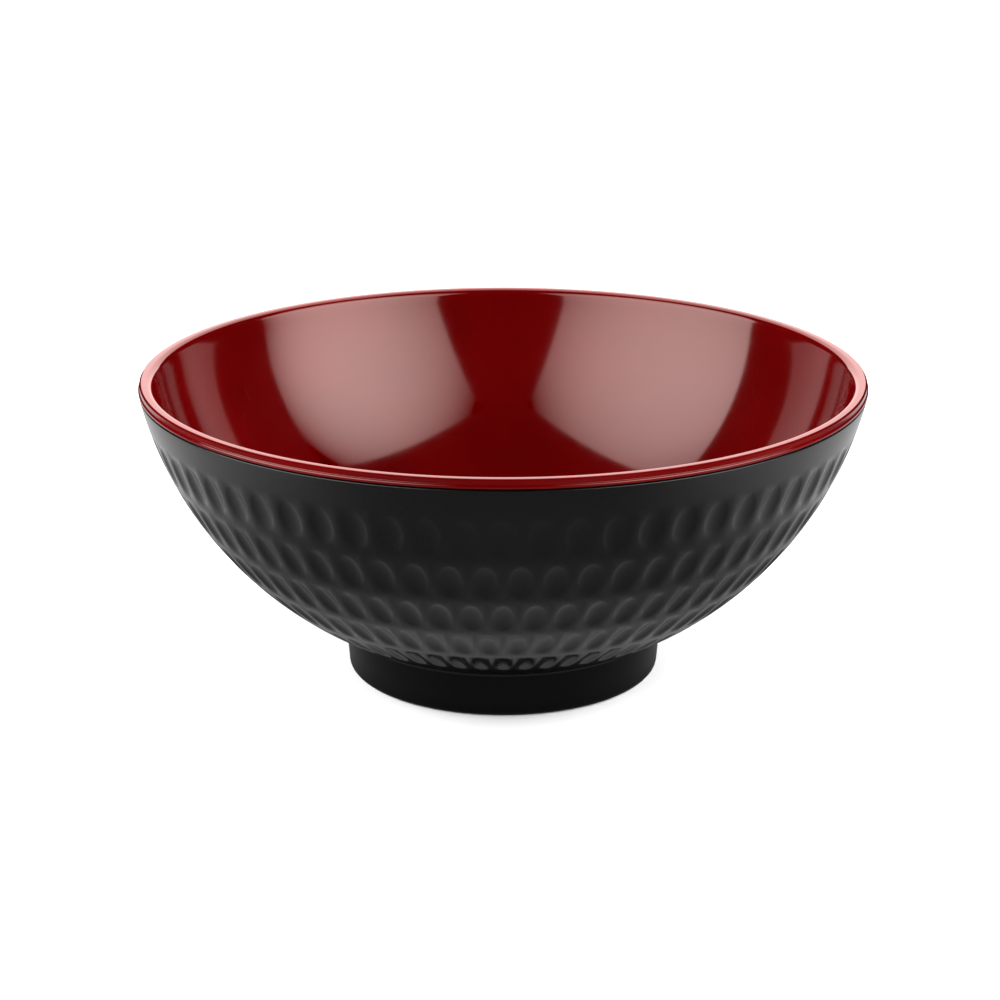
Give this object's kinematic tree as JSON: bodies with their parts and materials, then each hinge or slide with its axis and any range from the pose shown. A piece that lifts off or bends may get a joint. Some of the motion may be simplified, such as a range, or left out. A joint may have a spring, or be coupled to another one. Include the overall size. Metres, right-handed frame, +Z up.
{
  "type": "bowl",
  "caption": "Two-tone melamine noodle bowl: matte black outer shell with staggered rows of dimples and a plain foot ring, glossy red liner with a rounded rim.",
  "frame": {"origin": "centre of the circle that the foot ring stands on, on the table plane", "axes": "+Z up along the bowl's axis of revolution, towards the rim; -Y towards the front, where the top row has a dimple in the middle"},
  "size_m": [0.2, 0.2, 0.085],
  "materials": {
    "black_melamine": "satin-matte moulded black",
    "red_melamine": "high-gloss deep red"
  },
  "bodies": {
    "root": {"outer_shell": "black_melamine", "inner_liner": "red_melamine"}
  },
  "joints": []
}
